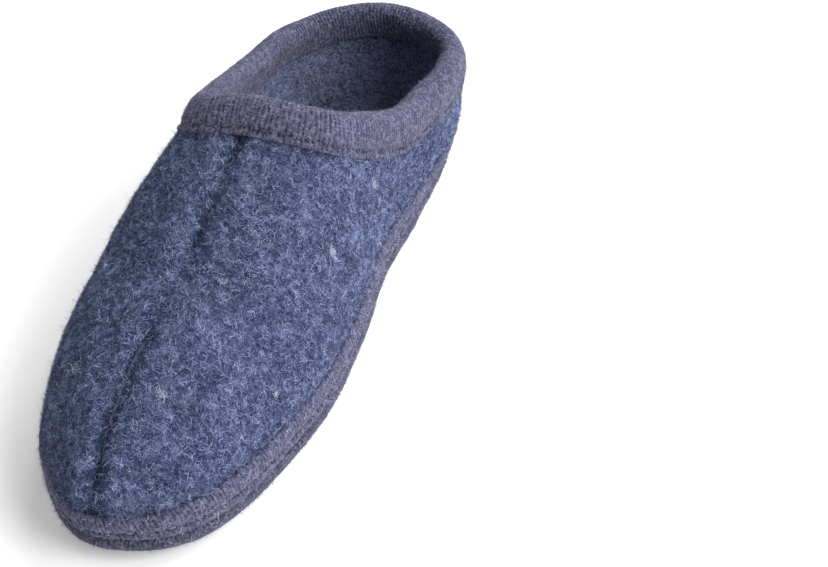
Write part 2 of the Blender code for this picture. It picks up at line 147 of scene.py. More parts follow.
def bell(x, width):
    """1 where x is 0, falling away on both sides over the given width."""
    return np.exp(-((x / width) ** 2))


def eased(share):
    """A share from 0 to 1, with level ends."""
    return share * share * (3 - 2 * share)


def run_along(points):
    """How far along a line of points each of them lies."""
    return np.concatenate([[0], np.cumsum(np.linalg.norm(np.diff(points, axis=0), axis=1))])


def smooth(knots, values, at):
    """A cubic curve through the knots, whose slope at each knot comes from its neighbours."""
    knots, values = np.asarray(knots, float), np.asarray(values, float)
    slopes = np.gradient(values, knots)
    at = np.clip(at, knots[0], knots[-1])
    i = np.clip(np.searchsorted(knots, at, side="right") - 1, 0, len(knots) - 2)
    span = knots[i + 1] - knots[i]
    s = (at - knots[i]) / span
    start = values[i] * (1 + 2 * s) * (1 - s) ** 2 + slopes[i] * span * s * (1 - s) ** 2
    end = values[i + 1] * s * s * (3 - 2 * s) + slopes[i + 1] * span * s * s * (s - 1)
    return start + end


def along_of(turn):
    return (1 - np.cos(turn)) / 2


def turn_of(along):
    return np.arccos(np.clip(1 - 2 * np.asarray(along, float), -1, 1))


SECTION_TURNS = turn_of(SECTIONS["along"])


def through_sections(name, turn, sign):
    """A column of the table at any turn. sign is -1 for a width, which changes side past each end, and
    1 for what runs on level, so that both ends close round."""
    values = SECTIONS[name]
    past_heel = 2 * math.pi - SECTION_TURNS[-2:-4:-1]
    knots = np.concatenate([-SECTION_TURNS[2:0:-1], SECTION_TURNS, past_heel])
    values = np.concatenate([sign * values[2:0:-1], values, sign * values[-2:-4:-1]])
    return smooth(knots, values, turn)


def half_width(turn, side):
    return BALL_WIDTH * through_sections("outer" if side > 0 else "inner", turn, -1)


def ridge_x(turn):
    return BALL_WIDTH * smooth(SECTION_TURNS, SECTIONS["ridge"], turn)


def ridge_z(turn):
    return INSTEP_HEIGHT * smooth(SECTION_TURNS, SECTIONS["height"], turn)


def floor_lift(turn):
    """How far the underside lies over the floor: the toe's spring, the heel's lift and a slight arch."""
    from_toe = LENGTH * along_of(turn)
    from_heel = LENGTH - from_toe
    toe = np.clip(1 - from_toe / TOE_SPRING_LENGTH, 0, 1) ** 2
    heel = np.clip(1 - from_heel / HEEL_LIFT_LENGTH, 0, 1) ** 2
    arch = np.clip(1 - ((along_of(turn) - ARCH_PLACE) / ARCH_REACH) ** 2, 0, 1) ** 2
    return TOE_SPRING * toe + HEEL_LIFT * heel + ARCH_LIFT * arch


def feather_z(turn):
    """Height of the upper's lower edge, which stands on the outsole."""
    return floor_lift(turn) + SOLE_THICKNESS + CLEARANCE


def outline(turn, side):
    """The widest outline of the shoe seen from above, as x and y."""
    return ridge_x(turn) + side * half_width(turn, side), LENGTH * (along_of(turn) - 0.5)


def outline_normal(turn, side):
    """The outline's direction outwards, as x and y."""
    step = 1e-4
    x0, y0 = outline(np.asarray(turn) - step, side)
    x1, y1 = outline(np.asarray(turn) + step, side)
    along_x, along_y = x1 - x0, y1 - y0
    size = np.hypot(along_x, along_y) + 1e-12
    return side * along_y / size, -side * along_x / size


def rear_share(turn):
    """Rises from 0 at the waist to 1 round the heel."""
    return eased(np.clip((along_of(turn) - REAR_START) / REAR_REACH, 0, 1))


def felt(turn, rise, side):
    """A point on the felt's outer face."""
    turn, rise = np.broadcast_arrays(np.asarray(turn, float), np.asarray(rise, float))
    square = smooth(SECTION_TURNS, SECTIONS["square"], turn)
    c, s = np.cos(rise), np.sin(rise)
    reach = (np.abs(c) ** square + np.abs(s) ** square) ** (-1 / square)
    width = half_width(turn, side) * reach * c
    up = (ridge_z(turn) - feather_z(turn)) * reach * s
    tuck_height = np.minimum(TUCK_HEIGHT, 0.8 * (ridge_z(turn) - feather_z(turn)))
    tuck = (TUCK_DEPTH + HEEL_TUCK * rear_share(turn)) * np.clip(1 - up / tuck_height, 0, 1) ** 2
    share_up = np.clip(up / HEEL_HEIGHT, 0, 1)
    bulge = HEEL_BULGE * rear_share(turn) * 4 * share_up * (1 - share_up)
    nx, ny = outline_normal(turn, side)
    lean = HEEL_LEAN * np.clip((along_of(turn) - 0.7) / 0.3, 0, 1) ** 2 * (up / HEEL_HEIGHT) ** 1.5
    x = ridge_x(turn) + side * width + nx * (bulge - tuck)
    y = LENGTH * (along_of(turn) - 0.5) + ny * (bulge - tuck) - lean
    return np.stack([x, y, feather_z(turn) + up], -1)


def felt_slopes(turn, rise, side):
    """How the outer face runs per radian of turn and of rise."""
    step = 2e-4
    by_turn = (felt(turn + step, rise, side) - felt(turn - step, rise, side)) / (2 * step)
    low, high = np.clip(rise - step, 0, math.pi / 2), np.clip(rise + step, 0, math.pi / 2)
    by_rise = (felt(turn, high, side) - felt(turn, low, side)) / (high - low)[..., None]
    return by_turn, by_rise


def unit(v):
    return v / (np.linalg.norm(v, axis=-1, keepdims=True) + 1e-12)


def half_normal(turn, rise, side):
    """Outward from one half of the felt, read a little off the seams, where the sections end."""
    turn, rise = np.clip(turn, 0.03, math.pi - 0.03), np.clip(rise, 0, math.pi / 2 - 0.02)
    by_turn, by_rise = felt_slopes(turn, rise, side)
    return unit(side * np.cross(by_turn, by_rise))


def felt_normal(turn, rise, side):
    """Outward from the felt. Both halves share one normal along the seams."""
    turn, rise = np.broadcast_arrays(np.asarray(turn, float), np.asarray(rise, float))
    own, other = half_normal(turn, rise, side), half_normal(turn, rise, -side)
    on_seam = (turn < 1e-6) | (turn > math.pi - 1e-6) | (rise > math.pi / 2 - 1e-6)
    return unit(np.where(on_seam[..., None], own + other, own))


def wall_direction(turn, rise, side):
    """From the felt's inner to its outer face: square to the felt, but fanning out from one point
    inside the toe near its tip, where the sections shrink to nothing."""
    core = np.array([ridge_x(0.0), TOE_CORE - LENGTH / 2, feather_z(0.0)])
    fan = unit(felt(turn, rise, side) - core)
    near = eased(np.clip(1.6 - turn / 0.25, 0, 1))[..., None]
    return unit(felt_normal(turn, rise, side) * (1 - near) + fan * near)


def rise_at_height(turn, up, side):
    """The rise at which the section has come up by this much from the sole edge, at each turn. up has one
    height for each turn, or a row of them."""
    rises = np.linspace(0, math.pi / 2, RISE_SAMPLES)
    heights = felt(turn[:, None], rises, side)[..., 2] - feather_z(turn)[:, None]
    return np.array([np.interp(wanted, line, rises) for wanted, line in zip(up, heights)])


def collar_edge(side, count):
    """turn and rise of the collar's edge, from the throat to the heel, evenly spaced along the edge."""
    throat = THROAT_FROM_TOE / LENGTH
    back, instep, heel = np.array(OUTER_COLLAR if side > 0 else INNER_COLLAR).T
    turns = turn_of(throat + back * (1 - throat))
    rises = rise_at_height(turns, instep * INSTEP_HEIGHT + heel * HEEL_HEIGHT - feather_z(turns), side)
    turns = np.concatenate([turns[1::-1], [turn_of(throat)], turns, 2 * math.pi - turns[-2:-4:-1]])
    rises = np.concatenate([math.pi - rises[1::-1], [math.pi / 2], rises, rises[-2:-4:-1]])
    knots = np.concatenate([[0], np.cumsum(np.hypot(np.diff(turns) * 1.5, np.diff(rises)))])
    fine = np.linspace(knots[2], knots[-3], 400)
    turn, rise = smooth(knots, turns, fine), np.minimum(smooth(knots, rises, fine), math.pi / 2)
    run = run_along(felt(turn, rise, side))
    wanted = np.linspace(0, run[-1], count)
    return np.interp(wanted, run, turn), np.interp(wanted, run, rise)


def down_from_collar(turn, rise, side, depth):
    """Walks down the felt, square to the collar's edge. Returns turn and rise after each step, and the
    direction up at the edge."""
    edge = np.gradient(felt(turn, rise, side), axis=0)
    edge[[0, -1]] *= [1, 0, 0]
    way = unit(np.cross(felt_normal(turn, rise, side), unit(edge)))
    way = way * np.where(way[:, 2:] > 0, -1, 1)
    turns, rises, up = [turn], [rise], -way
    for _ in range(WALK_STEPS):
        by_turn, by_rise = felt_slopes(turn, rise, side)
        normal = unit(np.cross(by_turn, by_rise))
        way = unit(way - normal * np.sum(way * normal, -1, keepdims=True))
        a, b = np.sum(by_turn**2, -1), np.sum(by_turn * by_rise, -1)
        c = np.sum(by_rise**2, -1)
        p, q = np.sum(by_turn * way, -1), np.sum(by_rise * way, -1)
        determinant = a * c - b * b
        turn = turn + depth / WALK_STEPS * (c * p - b * q) / determinant
        rise = np.clip(rise + depth / WALK_STEPS * (a * q - b * p) / determinant, 0, math.pi / 2)
        turns.append(turn)
        rises.append(rise)
    return np.array(turns), np.array(rises), up


def seam_groove(points, turn):
    """How deep the front and back seams draw the felt in, at each point."""
    valley = bell(points[..., 0] - ridge_x(turn), SEAM_HALF_WIDTH)
    return valley * np.where(along_of(turn) > REAR_SEAM, HEEL_SEAM_DEPTH, SEAM_DEPTH)


def upper_half(side):
    """Points of one half of the felt, first its outer and then its inner face, column by column from
    toe to heel, each from the sole edge to the ridge or, behind the throat, to the collar."""
    foot = np.linspace(0, math.pi, COLUMNS + 1)
    ridge_along = along_of(foot[: RIDGE_COLUMNS + 1]) * THROAT_FROM_TOE / LENGTH
    ridge_along = ridge_along / along_of(foot[RIDGE_COLUMNS])
    collar_turn, collar_rise = collar_edge(side, COLLAR_COLUMNS + 1)
    top_turn = np.concatenate([turn_of(ridge_along), collar_turn[1:]])
    top_rise = np.concatenate([np.full(RIDGE_COLUMNS + 1, math.pi / 2), collar_rise[1:]])
    turn = foot[:, None] + (top_turn - foot)[:, None] * UPPER_ROWS ** 1.5
    rise = top_rise[:, None] * UPPER_ROWS
    points, normal = felt(turn, rise, side), felt_normal(turn, rise, side)
    inner = points - wall_direction(turn, rise, side) * FELT_WALL
    inner[:, 0, 2] = points[:, 0, 2]
    return points - normal * seam_groove(points, turn)[..., None], inner, turn, rise


def sole_side(turns, side, ups, tucks):
    """The outsole's side at many stations, each from the floor up."""
    x, y = outline(turns, side)
    nx, ny = outline_normal(turns, side)
    levels = []
    for up, tuck in zip(ups, tucks):
        inward = tuck + HEEL_TUCK * rear_share(turns)
        height = floor_lift(turns) + up * SOLE_THICKNESS
        levels.append(np.stack([x - nx * inward, y - ny * inward, height], -1))
    return np.stack(levels, 1)


def insole_edge(turns, side):
    """Lower and upper edge of the footbed, which fits the inside of the felt wall."""
    levels = []
    for up in (0.0, INSOLE_THICKNESS):
        rise = rise_at_height(turns, np.full(len(turns), up), side)
        levels.append(felt(turns, rise, side) - wall_direction(turns, rise, side) * (FELT_WALL + CLEARANCE))
    levels[0][:, 2] = feather_z(turns)
    return levels


# The collar binding's section, as depth below the felt's edge and distance out from its outer face: what
# shows, down the outside, sewn in near its foot, over the edge and down the inside, and then what lies
# against the felt.
INSIDE = -FELT_WALL
BINDING_OUTSIDE = [
    (BINDING_OUTER, BINDING_GAP),
    (BINDING_OUTER, 0.0013),
    (BINDING_OUTER - 0.0017, 0.0015),
    (BINDING_OUTER - 0.0026, 0.0013),
    (BINDING_OUTER - 0.0038, 0.0021),
    (BINDING_OUTER * 0.42, BINDING_LOFT * 1.05),
    (0.0003, BINDING_LOFT * 0.95),
    (-BINDING_LOFT * 0.60, BINDING_LOFT * 0.45),
    (-BINDING_LOFT * 0.98, INSIDE * 0.5),
    (-BINDING_LOFT * 0.60, INSIDE - BINDING_LOFT * 0.45),
    (0.0003, INSIDE - BINDING_LOFT * 0.80),
    (BINDING_INNER * 0.30, INSIDE - BINDING_LOFT * 0.90),
    (BINDING_INNER * 0.70, INSIDE - BINDING_LOFT * 0.75),
    (BINDING_INNER, INSIDE - 0.0012),
    (BINDING_INNER, INSIDE - BINDING_GAP),
]
BINDING_LINING = [
    (BINDING_INNER * 0.50, INSIDE - BINDING_GAP),
    (-BINDING_GAP, INSIDE - BINDING_GAP),
    (-BINDING_GAP, BINDING_GAP),
    (BINDING_OUTER * 0.33, BINDING_GAP),
    (BINDING_OUTER * 0.67, BINDING_GAP),
]


def binding_half(side, stations, profile):
    """Sections of the binding from throat to heel on one side."""
    deepest = max(BINDING_OUTER, BINDING_INNER)
    turns, rises, up = down_from_collar(*collar_edge(side, stations), side, deepest)
    normals = [felt_normal(turn, rise, side) for turn, rise in zip(turns, rises)]
    rings = []
    for depth, out in profile:
        at = max(depth, 0) / deepest * WALK_STEPS
        low = min(int(at), WALK_STEPS - 1)
        mix = at - low
        turn, rise, normal = (line[low] * (1 - mix) + line[low + 1] * mix for line in (turns, rises, normals))
        rings.append(felt(turn, rise, side) + unit(normal) * out + up * max(-depth, 0))
    return np.array(rings).transpose(1, 0, 2)


# ---- Sizes of what the looks add ----

RIB_PITCH = 0.0016
RIB_DEPTH = 0.00034
SAMPLES_PER_RIB = 4
RIB_LEVEL = 0.62  # the crest value that stays at the cloth's own height
STITCH_PITCH = 0.0013
BINDING_STITCH_UP = 0.0026  # the row that sews the binding down, over its lower edge
BINDING_OUTER_SHARE = 0.45  # the share of its section that lies outside
RAND_STITCH_ROW = 0.39  # the row that sews the rand down, as a share of its height
THREAD_PITCH = 0.0034
THREAD_RADIUS = 0.00032
THREAD_AROUND, THREAD_ALONG = 6, 5
SEED = 20

FIBRE_WANDER = 0.28  # radians of turning at each point, besides the curl
FIBRE_ROLL = 0.9
FIBRE_TAPER = 0.55
FIBRE_LIFT = 0.00003
FLOOR_GAP = 0.0002
PILL_RADIUS = 0.0007

# How strongly the front seam draws in, by the share of the length from the toe.
SEAM_PULL = [
    (0.00, 0.35), (0.03, 0.85), (0.10, 1.00), (0.16, 0.80), (0.195, 1.00), (0.22, 0.42), (0.25, 0.12),
    (0.30, 0.04), (0.335, 0.10), (0.355, 0.55), (0.365, 0.80), (0.38, 0.30), (0.395, 0.75), (0.41, 0.32),
    (0.44, 0.22), (0.47, 0.55), (0.50, 0.85), (0.56, 0.75),
]

HEEL_SEAM_PULL = 0.45
SEAM_LINE_DEPTH = 0.0013
SEAM_SWELL = 0.00055  # the felt that swells up beside the seam
SEAM_SWELL_AT = 0.0068
PUCKER_LENGTH = 0.0052
PUCKER_DEPTH = 0.00010
FOOT_SWELL = 0.0006  # the felt that swells up over the rand
FOOT_SWELL_AT = 0.0155

# Small felted balls of loose wool: side, share of the length from the toe, share of the way up, fibres.
PILLS = [
    (1, 0.600, 0.308, 90), (1, 0.445, 0.414, 80), (1, 0.313, 0.797, 26), (1, 0.142, 0.788, 34),
    (1, 0.236, 0.330, 22), (-1, 0.330, 0.560, 24), (-1, 0.700, 0.230, 30), (1, 0.860, 0.220, 30),
    (-1, 0.160, 0.620, 24),
]

# Soft folds of the felt: outer (1) or inner (-1) side, start and end as shares of the length from the toe
# and of the way up from the sole edge, depth (negative for a ridge) and half-width.
FOLDS = [
    (-1, (0.13, 0.86), (0.22, 0.80), 0.0011, 0.0045),
    (-1, (0.24, 0.60), (0.33, 0.72), 0.0008, 0.0060),
    (-1, (0.36, 0.55), (0.47, 0.80), 0.0010, 0.0070),
    (-1, (0.42, 0.40), (0.50, 0.62), -0.0008, 0.0060),
    (1, (0.36, 0.70), (0.47, 0.78), 0.0009, 0.0060),
    (1, (0.44, 0.48), (0.55, 0.66), 0.0010, 0.0065),
    (1, (0.50, 0.36), (0.60, 0.52), -0.0009, 0.0060),
    (1, (0.20, 0.48), (0.34, 0.40), 0.0006, 0.0070),
    (1, (0.07, 0.42), (0.12, 0.62), 0.0006, 0.0050),
]


def offset_to_frame():
    """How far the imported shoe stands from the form's own axes, because it is centred on its box."""
    turns = np.linspace(0, math.pi, RING_STATIONS + 1)
    edge = np.concatenate([sole_side(turns, side, *np.array(SOLE_PROFILE).T) for side in (1, -1)])
    return (np.array(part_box("outsole")[0]) - edge.min((0, 1))) * [1, 1, 0]


def field(points, size, seed):
    """Smooth noise of about -1 to 1 at each point, with lumps of the given size."""
    flat = np.asarray(points).reshape(-1, 3) / size + seed * 7.31
    values = [noise.noise(Vector(p)) for p in flat]
    return np.array(values).reshape(np.shape(points)[:-1])


def normals_of(points, side=1.0, closed=False):
    """Unit normals of a grid of points, whose first axis may close round."""
    if closed:
        along = np.roll(points, -1, 0) - np.roll(points, 1, 0)
    else:
        along = np.gradient(points, axis=0)
    return unit(side * np.cross(along, np.gradient(points, axis=1)))


def ring_normals(ring, centre):
    """Normals of a closed ring of sections, pointing away from the centre."""
    normal = normals_of(ring, closed=True)
    return normal * np.sign(np.sum(normal * (ring - centre)))


def joined(grid):
    """The grid with its first column again at its end."""
    return np.concatenate([grid, grid[:1]])


def fold_relief(points, side):
    relief = np.zeros(points.shape[:-1])
    for fold_side, *ends, depth, width in FOLDS:
        if fold_side != side:
            continue
        alongs, rises = np.array(ends).T
        start, end = felt(turn_of(alongs), rises * math.pi / 2, side)
        way = end - start
        t = np.clip(np.sum((points - start) * way, -1) / np.dot(way, way), 0, 1)
        away = np.linalg.norm(points - start - t[..., None] * way, axis=-1)
        fade = 0.35 + 0.65 * np.sin(math.pi * (0.15 + 0.7 * t))
        relief -= depth * fade * bell(away, width)
    return relief


def seam_pull(turn):
    """How strongly the seam draws the felt in, from 0 to 1."""
    along = along_of(turn)
    shares, pulls = np.array(SEAM_PULL).T
    return np.where(along < REAR_SEAM, np.interp(along, shares, pulls), HEEL_SEAM_PULL)


def off_seam(points, turn):
    """Distance from the seam, which wanders a little."""
    wander = 0.0004 * np.sin(points[..., 1] / 0.011) + 0.0003 * np.sin(points[..., 1] / 0.0043)
    return np.abs(points[..., 0] - ridge_x(turn) - wander)


def seam_relief(points, turn):
    """The soft valley that the seam draws in, with small puckers running off it."""
    off = off_seam(points, turn)
    line = SEAM_LINE_DEPTH * (bell(off, 0.0010) + bell(off, SEAM_HALF_WIDTH))
    beside = bell(off - SEAM_SWELL_AT, 0.0036) * SEAM_SWELL
    wave = np.sin(points[..., 1] / PUCKER_LENGTH * math.pi + 2.0 * np.sin(points[..., 1] / 0.019))
    pucker = wave * bell(off - 0.0015, 0.0042) * PUCKER_DEPTH
    return (beside - line) * seam_pull(turn) + pucker


def seam_shadow(points, turn):
    """Painted shade in the seam's valley: how dark the felt is painted where the seam draws it in."""
    off = off_seam(points, turn)
    deep = 0.75 * bell(off, 0.0012) + 0.50 * bell(off, 0.0036)
    return np.clip(deep, 0, 1) * np.clip(1.15 * seam_pull(turn), 0, 1)


def lumps(points, *layers):
    """Relief made of layers of smooth noise, each given as depth, lump size and seed."""
    return sum(depth * field(points, size, seed) for depth, size, seed in layers)


def upper_surfaces(side, shift):
    """The finely divided outer and inner faces of one half of the felt, and how dark each point of the
    outer face is painted, as painted shade in the seam."""
    outer, inner, turn, rise = upper_half(side)
    normal = felt_normal(turn, rise, side)
    relief = seam_relief(outer, turn) + fold_relief(outer, side)
    relief += lumps(outer, (0.00055, 0.030, 1), (0.00036, 0.0095, 2), (0.00022, 0.0034, 3))
    height = outer[..., 2] - feather_z(turn)
    relief *= np.clip(height / 0.012, 0, 1)
    relief += FOOT_SWELL * bell(height - FOOT_SWELL_AT, 0.0038)
    shadow = seam_shadow(outer, turn)
    outer = outer + normal * relief[..., None]
    outer[:, 0, 2] = feather_z(turn[:, 0])
    inner_relief = lumps(inner, (0.0002, 0.012, 4)) * np.clip(height / 0.02, 0, 1)
    return outer + shift, inner + normal * inner_relief[..., None] + shift, shadow


def placed(name, data):
    """A new object in the scene."""
    obj = bpy.data.objects.new(name, data)
    bpy.context.scene.collection.objects.link(obj)
    return obj


def quad_object(name, points, faces, merge=0.0, **values):
    """A mesh object. values are numbers for each point, kept where coinciding points are merged."""
    mesh = bpy.data.meshes.new(name)
    mesh.from_pydata(np.asarray(points).reshape(-1, 3).tolist(), [], [list(face) for face in faces])
    for label, numbers in values.items():
        numbers = np.asarray(numbers, dtype=np.float32).ravel()
        mesh.attributes.new(label, "FLOAT", "POINT").data.foreach_set("value", numbers)
    if merge:
        work = bmesh.new()
        work.from_mesh(mesh)
        bmesh.ops.remove_doubles(work, verts=work.verts, dist=merge)
        bmesh.ops.recalc_face_normals(work, faces=work.faces)
        work.to_mesh(mesh)
        work.free()
    mesh.update()
    mesh.shade_smooth()
    return placed(name, mesh)


def dress(obj, finish, slot, *nodes):
    obj.data.materials.append(finish)
    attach(obj, "root")
    if nodes:
        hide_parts(*nodes)


def grid_quads(first, columns, rows, wrap_columns=False, wrap_rows=False):
    j = np.arange(columns if wrap_columns else columns - 1)
    i = np.arange(rows if wrap_rows else rows - 1)
    j, i = np.meshgrid(j, i, indexing="ij")
    k, n = (j + 1) % columns, (i + 1) % rows
    quads = np.stack([j * rows + i, k * rows + i, k * rows + n, j * rows + n], -1)
    return first + quads.reshape(-1, 4)


# ---- Materials ----


class Shade:
    """A node material in the making."""

    def __init__(self, name, roughness, sheen, sheen_tint):
        self.material = bpy.data.materials.new(name)
        self.material.use_nodes = True
        self.tree = self.material.node_tree
        self.shader = self.tree.nodes["Principled BSDF"]
        gloss = {"Roughness": roughness, "Specular IOR Level": 0.2}
        sheens = {"Sheen Weight": sheen, "Sheen Roughness": 0.5, "Sheen Tint": (*sheen_tint, 1.0)}
        for name, value in {**gloss, **sheens}.items():
            self.put(self.shader, name, value)
        self.place = self.tree.nodes.new("ShaderNodeTexCoord").outputs["Object"]

    def put(self, node, name, value):
        if isinstance(value, bpy.types.NodeSocket):
            self.tree.links.new(value, node.inputs[name])
        else:
            node.inputs[name].default_value = value

    def node(self, kind, values, **settings):
        """The outputs of a new node. values go to its inputs, by name or number."""
        node = self.tree.nodes.new("ShaderNode" + kind)
        for name, value in settings.items():
            setattr(node, name, value)
        for name, value in values.items():
            self.put(node, name, value)
        return node.outputs

    def noise(self, scale, detail, rough, distortion=0.0, place=None):
        sizes = {"Scale": scale, "Detail": detail, "Roughness": rough, "Distortion": distortion}
        return self.node("TexNoise", {"Vector": place or self.place, **sizes})["Fac"]

    def moved(self, x, y, z):
        return self.node("VectorMath", {0: self.place, 1: (x, y, z)}, operation="ADD")[0]

    def math(self, operation, a, b=0.0, c=0.0):
        return self.node("Math", {0: a, 1: b, 2: c}, operation=operation)[0]

    def span(self, value, low, high, to_low=0.0, to_high=1.0):
        ends = {"From Min": low, "From Max": high, "To Min": to_low, "To Max": to_high}
        return self.node("MapRange", {"Value": value, **ends}, interpolation_type="SMOOTHSTEP")["Result"]

    def mix(self, share, one, other):
        one, other = ((*colour, 1.0) if isinstance(colour, tuple) else colour for colour in (one, other))
        return self.node("Mix", {0: share, 6: one, 7: other}, data_type="RGBA")[2]

    def over(self, base, colour, value, low, high, amount):
        """base with colour laid over it where value runs from low to high, by up to the given amount."""
        return self.mix(self.math("MULTIPLY", self.span(value, low, high), amount), base, colour)

    def threads(self, scale, seed, thin, mask_scale=220.0, distortion=1.2):
        """Thin curly lines, broken into pieces."""
        place = self.moved(seed, seed * 0.7, -seed)
        from_middle = self.math("SUBTRACT", self.noise(scale, 1.0, 0.5, distortion, place), 0.5)
        line = self.span(self.math("ABSOLUTE", from_middle), 0.0, thin, 1.0, 0.0)
        mask = self.span(self.noise(mask_scale, 2.0, 0.6, 0.0, place), 0.45, 0.62)
        return self.math("MULTIPLY", line, mask)

    def attribute(self, name):
        return self.node("Attribute", {}, attribute_name=name)["Fac"]

    def bump(self, height, strength, distance):
        return self.node("Bump", {"Strength": strength, "Distance": distance, "Height": height})["Normal"]

    def finish(self, colour, normal=None):
        self.put(self.shader, "Base Color", colour)
        if normal is not None:
            self.put(self.shader, "Normal", normal)
        return self.material


def felt_material(name, deep, dark, middle, light, fibre):
    """Boiled wool: dark gaps between small locks, with curly pale fibres over them. Its shadow attribute
    darkens it."""
    shade = Shade(name, 0.95, 0.12, (0.45, 0.58, 0.95))
    clouds = shade.noise(38.0, 3.0, 0.55)
    clumps = shade.noise(330.0, 3.0, 0.62, 0.8)
    grain = shade.noise(980.0, 3.0, 0.65, 0.8, shade.moved(0.3, 0.1, 0.2))
    base = shade.mix(shade.span(clumps, 0.44, 0.56), dark, middle)
    base = shade.over(base, light, grain, 0.49, 0.62, 0.85)
    base = shade.over(base, deep, grain, 0.48, 0.40, 0.90)
    base = shade.over(base, light, clouds, 0.35, 0.70, 0.22)
    one = shade.threads(430.0, 0.11, 0.050)
    two = shade.threads(640.0, 0.37, 0.060, 300.0, 1.6)
    three = shade.threads(820.0, 0.71, 0.065, 260.0, 1.2)
    both = shade.math("MAXIMUM", shade.math("MAXIMUM", one, two), three)
    base = shade.mix(shade.math("MULTIPLY", both, 0.72), base, fibre)
    base = shade.mix(shade.math("MULTIPLY", shade.attribute("shadow"), 0.85), base, deep)
    height = shade.math("MULTIPLY_ADD", both, 0.55, shade.math("MULTIPLY_ADD", grain, 0.9, clumps))
    return shade.finish(base, shade.bump(height, 1.0, 0.0016))


def knit_material(name, dark, middle, light):
    """Knit whose crest attribute runs over the ribs and whose down attribute runs along them. Where crest is
    low, in the valleys between the ribs, the knit is painted dark as painted shade.
    """
    shade = Shade(name, 0.92, 0.20, (0.64, 0.62, 0.75))
    crest = shade.attribute("crest")
    leaning = shade.math("MULTIPLY", shade.math("MULTIPLY", crest, crest), 0.45)
    rows = shade.math("MULTIPLY_ADD", shade.attribute("down"), 1.0 / STITCH_PITCH, leaning)
    wave = shade.math("COSINE", shade.math("MULTIPLY", rows, 2 * math.pi))
    loops = shade.math("MULTIPLY_ADD", wave, 0.5, 0.5)
    heather = shade.noise(650.0, 3.0, 0.62, 0.6)
    grain = shade.noise(1700.0, 2.0, 0.55)
    # Painted shade: darker where crest is low, in the valleys between the ribs.
    base = shade.mix(shade.span(crest, 0.35, 0.95), dark, middle)
    base = shade.over(base, light, heather, 0.46, 0.64, 0.48)
    base = shade.over(base, dark, grain, 0.46, 0.34, 0.55)
    base = shade.over(base, dark, loops, 0.45, 0.0, 0.12)
    hairs = shade.threads(800.0, 0.21, 0.045, 260.0, 1.0)
    base = shade.mix(shade.math("MULTIPLY", hairs, 0.45), base, light)
    height = shade.math("MULTIPLY_ADD", loops, 0.16, shade.math("MULTIPLY_ADD", grain, 0.5, heather))
    return shade.finish(base, shade.bump(height, 0.75, 0.0009))


def fibre_material(name, dark, light, sheen=0.2):
    shade = Shade(name, 0.85, sheen, (0.60, 0.70, 0.95))
    return shade.finish(shade.mix(shade.attribute("shade"), dark, light))


# ---- Loose fibres ----


def cell_corners(grid):
    cells = np.stack([grid[:-1, :-1], grid[1:, :-1], grid[1:, 1:], grid[:-1, 1:]], -2)
    return cells.reshape(-1, 4, 3)


def scatter(grids, count, rng, weight):
    """Evenly random places on grids of points: positions and normals."""
    corners = np.concatenate([cell_corners(points) for points, _ in grids])
    normals = unit(np.concatenate([cell_corners(normal) for _, normal in grids]).sum(1))
    area = np.linalg.norm(np.cross(corners[:, 2] - corners[:, 0], corners[:, 3] - corners[:, 1]), axis=1)
    if weight is not None:
        area = area * weight(corners.mean(1))
    pick = rng.choice(len(area), count, p=area / area.sum())
    u, v = rng.random((2, count, 1))
    low = corners[pick, 0] * (1 - u) + corners[pick, 1] * u
    high = corners[pick, 3] * (1 - u) + corners[pick, 2] * u
    return low * (1 - v) + high * v, normals[pick]


def between(limits, share):
    return limits[0] + (limits[1] - limits[0]) * share


def fibres(name, roots, normals, rng, length, lift, curl, width, segments, free):
    """Curly wool fibres as narrow strips. length, lift and width are (least, most); curl is the turning
    in radians from end to end; free is the share of fibres whose tip stands off the cloth."""
    count = len(roots)
    long = between(length, rng.random(count) ** 1.8)
    up = between(lift, rng.random(count) ** 2.2)
    first = unit(np.cross(normals, unit(rng.normal(size=(count, 3)))))
    second = np.cross(normals, first)
    share = np.linspace(0, 1, segments + 1)
    turning = rng.normal(0, curl, count)[:, None] * share
    turning = turning + np.cumsum(rng.normal(0, FIBRE_WANDER, (count, segments + 1)), 1)
    step = long[:, None] / segments
    x, y = (np.concatenate([np.zeros((count, 1)), np.cumsum(run(turning[:, :-1]) * step, 1)], 1)
            for run in (np.cos, np.sin))
    is_free = (rng.random(count) < free)[:, None]
    arc = np.where(is_free, share**1.3, np.sin(math.pi * share))
    height = arc * up[:, None] + FIBRE_LIFT
    path = roots[:, None] + first[:, None] * x[..., None] + second[:, None] * y[..., None]
    path = path + normals[:, None] * height[..., None]
    path[..., 2] = np.maximum(path[..., 2], FLOOR_GAP)
    way = unit(np.gradient(path, axis=1))
    across = unit(np.cross(way, normals[:, None]))
    roll = rng.uniform(-FIBRE_ROLL, FIBRE_ROLL, count)[:, None, None]
    across = across * np.cos(roll) + np.cross(across, way) * np.sin(roll)
    wide = between(width, rng.random(count))[:, None, None] * (1 - FIBRE_TAPER * share)[None, :, None]
    strip = np.stack([path - across * wide / 2, path + across * wide / 2], 2)
    per = 2 * (segments + 1)
    start = np.arange(count)[:, None] * per + np.arange(segments)[None, :] * 2
    quads = np.stack([start, start + 1, start + 3, start + 2], -1).reshape(-1, 4)
    tone = 0.03 + 0.95 * rng.random(count) ** 2.5 + lumps(roots, (0.40, 0.0026, 21), (0.16, 0.014, 23))
    return quad_object(name, strip, quads, shade=np.repeat(np.clip(tone, 0, 1), per))
